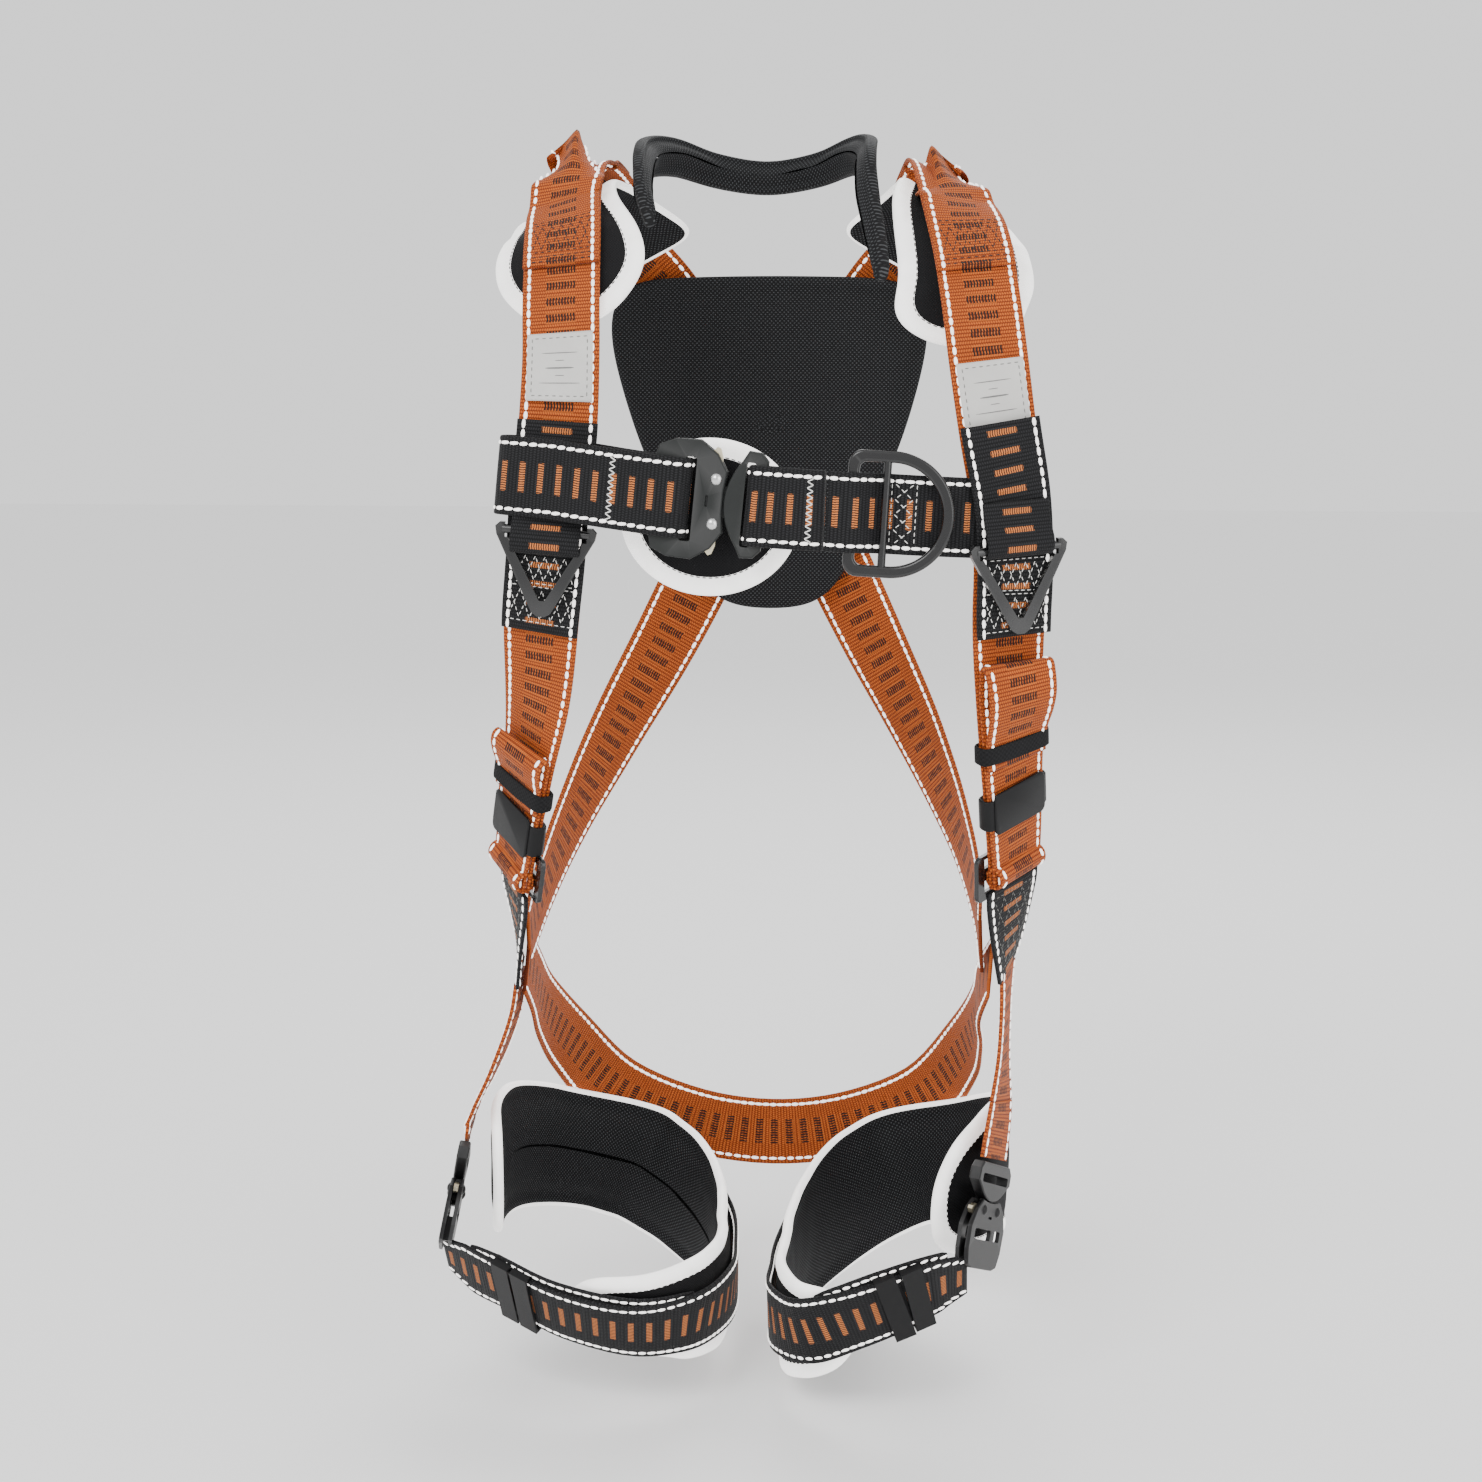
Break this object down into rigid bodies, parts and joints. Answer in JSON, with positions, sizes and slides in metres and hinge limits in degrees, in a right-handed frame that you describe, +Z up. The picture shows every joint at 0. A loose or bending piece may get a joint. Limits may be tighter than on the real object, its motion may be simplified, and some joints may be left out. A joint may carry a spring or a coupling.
{
  "type": "safety harness",
  "caption": "Full-body fall-arrest harness shaped as worn: orange and black webbing, padded yoke and leg loops, quick-connect buckles, back, chest and side rings.",
  "frame": {"origin": "on the wearer's torso axis at the height of the chest strap", "axes": "+Z up, -Y the wearer's front, +X the wearer's left"},
  "size_m": [0.3854, 0.2818, 0.7632],
  "materials": {
    "webbing_orange": "ribbed polyester webbing, orange with black tracer blocks",
    "webbing_black": "ribbed polyester webbing, black with orange tracer blocks",
    "pad_mesh": "spacer mesh",
    "pad_cover": "woven pad cover with reflective binding",
    "label_white": "plain stitched label",
    "elastic_black": "elastic band",
    "keeper_black": "moulded keeper",
    "release_tab": "satin",
    "rivet_steel": "domed rivet",
    "buckle_grey": "satin dark grey coating",
    "buckle_black": "satin black coating",
    "ring_black": "gloss black coating"
  },
  "bodies": {
    "harness": {"back_pad": "pad_cover", "back_strap_left": "webbing_orange", "back_strap_right": "webbing_orange", "chest_buckle_back_plate": "buckle_grey", "chest_buckle_front_plate": "buckle_grey", "chest_buckle_rivets": "rivet_steel", "chest_lead_left": "webbing_black", "chest_pad": "pad_cover", "chest_patch_left": "webbing_black", "chest_patch_right": "webbing_black", "chest_strap_left": "webbing_black", "chest_strap_right": "webbing_black", "dorsal_plate": "ring_black", "drop_lead_left": "webbing_orange", "drop_lead_right": "webbing_orange", "drop_strap_left": "webbing_orange", "drop_strap_right": "webbing_orange", "hip_patch_left": "webbing_black", "hip_patch_right": "webbing_black", "label_left": "label_white", "label_right": "label_white", "leg_buckle_left": "buckle_black", "leg_buckle_right": "buckle_black", "leg_pad_left": "pad_cover", "leg_pad_right": "pad_cover", "leg_strap_left": "webbing_black", "leg_strap_right": "webbing_black", "neck_collar": "pad_mesh", "retrieval_loop_left": "webbing_orange", "retrieval_loop_right": "webbing_orange", "seat_strap": "webbing_orange", "shoulder_pad_left": "pad_cover", "shoulder_pad_right": "pad_cover", "shoulder_strap_left": "webbing_orange", "shoulder_strap_right": "webbing_orange", "torso_adjuster_left": "ring_black", "torso_adjuster_right": "ring_black", "torso_tail_left": "webbing_orange", "torso_tail_right": "webbing_orange"},
    "chest_release_lower_body": {"chest_release_lower": "release_tab"},
    "chest_release_upper_body": {"chest_release_upper": "release_tab"},
    "chest_tongue_body": {"chest_tongue": "buckle_grey"},
    "dorsal_ring": {"dorsal_d_ring": "ring_black"},
    "elastic_keeper_left_body": {"elastic_keeper_left": "elastic_black"},
    "elastic_keeper_right_body": {"elastic_keeper_right": "elastic_black"},
    "leg_keepers_left_body": {"leg_keepers_left": "keeper_black"},
    "leg_keepers_right_body": {"leg_keepers_right": "keeper_black"},
    "leg_release_front_left_body": {"leg_release_front_left": "release_tab"},
    "leg_release_front_right_body": {"leg_release_front_right": "release_tab"},
    "leg_release_rear_left_body": {"leg_release_rear_left": "release_tab"},
    "leg_release_rear_right_body": {"leg_release_rear_right": "release_tab"},
    "leg_tongue_left_body": {"leg_tongue_left": "buckle_black"},
    "leg_tongue_right_body": {"leg_tongue_right": "buckle_black"},
    "sternal_ring": {"sternal_d_ring": "ring_black"},
    "tag_keeper_left_body": {"tag_keeper_left": "keeper_black"},
    "tag_keeper_right_body": {"tag_keeper_right": "keeper_black"},
    "triangle_ring_left_body": {"triangle_ring_left": "ring_black"},
    "triangle_ring_right_body": {"triangle_ring_right": "ring_black"}
  },
  "joints": [
    {"name": "dorsal_ring_hinge", "type": "hinge", "parent": "harness", "child": "dorsal_ring", "pos_m": [0, 0.1346, 0.0224], "axis": [1, 0, 0], "range_deg": [0, 150]},
    {"name": "sternal_ring_hinge", "type": "hinge", "parent": "harness", "child": "sternal_ring", "pos_m": [0.082, -0.128, -0.00657], "axis": [-0.0599, 0, -0.9982], "range_deg": [0, 60]},
    {"name": "triangle_ring_right_hinge", "type": "hinge", "parent": "harness", "child": "triangle_ring_right_body", "pos_m": [-0.11037, -0.12243, -0.01794], "axis": [-0.9964, -0.0251, 0.0806], "range_deg": [0, 110]},
    {"name": "triangle_ring_left_hinge", "type": "hinge", "parent": "harness", "child": "triangle_ring_left_body", "pos_m": [0.1569, -0.11276, -0.02641], "axis": [-0.934, -0.3497, -0.0737], "range_deg": [0, 110]},
    {"name": "chest_tongue_slide", "type": "slide", "parent": "harness", "child": "chest_tongue_body", "axis": [0.995, 0, -0.0995], "range_m": [0, 0.016], "deforming": ["chest_lead_left"]},
    {"name": "chest_release_upper_press", "type": "slide", "parent": "harness", "child": "chest_release_upper_body", "axis": [-0.0995, 0, -0.995], "range_m": [0, 0.0025], "stiffness_N_per_m": 400, "springref_m": -0.002},
    {"name": "chest_release_lower_press", "type": "slide", "parent": "harness", "child": "chest_release_lower_body", "axis": [0.0995, 0, 0.995], "range_m": [0, 0.0025], "stiffness_N_per_m": 400, "springref_m": -0.002},
    {"name": "leg_tongue_right_slide", "type": "slide", "parent": "harness", "child": "leg_tongue_right_body", "axis": [0.1289, 0.464, 0.8764], "range_m": [0, 0.016], "deforming": ["drop_lead_right"]},
    {"name": "leg_release_front_right_press", "type": "slide", "parent": "harness", "child": "leg_release_front_right_body", "axis": [0.1862, -0.8794, 0.4382], "range_m": [0, 0.0025], "stiffness_N_per_m": 400, "springref_m": -0.002},
    {"name": "leg_release_rear_right_press", "type": "slide", "parent": "harness", "child": "leg_release_rear_right_body", "axis": [-0.1862, 0.8794, -0.4382], "range_m": [0, 0.0025], "stiffness_N_per_m": 400, "springref_m": -0.002},
    {"name": "leg_tongue_left_slide", "type": "slide", "parent": "harness", "child": "leg_tongue_left_body", "axis": [0.1596, 0.3419, 0.9261], "range_m": [0, 0.016], "deforming": ["drop_lead_left"]},
    {"name": "leg_release_front_left_press", "type": "slide", "parent": "harness", "child": "leg_release_front_left_body", "axis": [0.3225, 0.8686, -0.3763], "range_m": [0, 0.0025], "stiffness_N_per_m": 400, "springref_m": -0.002},
    {"name": "leg_release_rear_left_press", "type": "slide", "parent": "harness", "child": "leg_release_rear_left_body", "axis": [-0.3225, -0.8686, 0.3763], "range_m": [0, 0.0025], "stiffness_N_per_m": 400, "springref_m": -0.002},
    {"name": "elastic_keeper_right_slide", "type": "slide", "parent": "harness", "child": "elastic_keeper_right_body", "axis": [-0.177, 0.3245, -0.9292], "range_m": [-0.004, 0.004]},
    {"name": "elastic_keeper_left_slide", "type": "slide", "parent": "harness", "child": "elastic_keeper_left_body", "axis": [0.04, 0.2675, -0.9627], "range_m": [-0.004, 0.004]},
    {"name": "tag_keeper_right_slide", "type": "slide", "parent": "harness", "child": "tag_keeper_right_body", "axis": [-0.1763, 0.3074, -0.9351], "range_m": [-0.004, 0.0005]},
    {"name": "tag_keeper_left_slide", "type": "slide", "parent": "harness", "child": "tag_keeper_left_body", "axis": [0.0452, 0.3434, -0.9381], "range_m": [-0.004, 0.004]},
    {"name": "leg_keepers_right_slide", "type": "slide", "parent": "harness", "child": "leg_keepers_right_body", "axis": [0.8486, -0.4767, -0.2295], "range_m": [-0.004, 0.004]},
    {"name": "leg_keepers_left_slide", "type": "slide", "parent": "harness", "child": "leg_keepers_left_body", "axis": [-0.9028, -0.2269, -0.3654], "range_m": [-0.004, 0.004]}
  ]
}
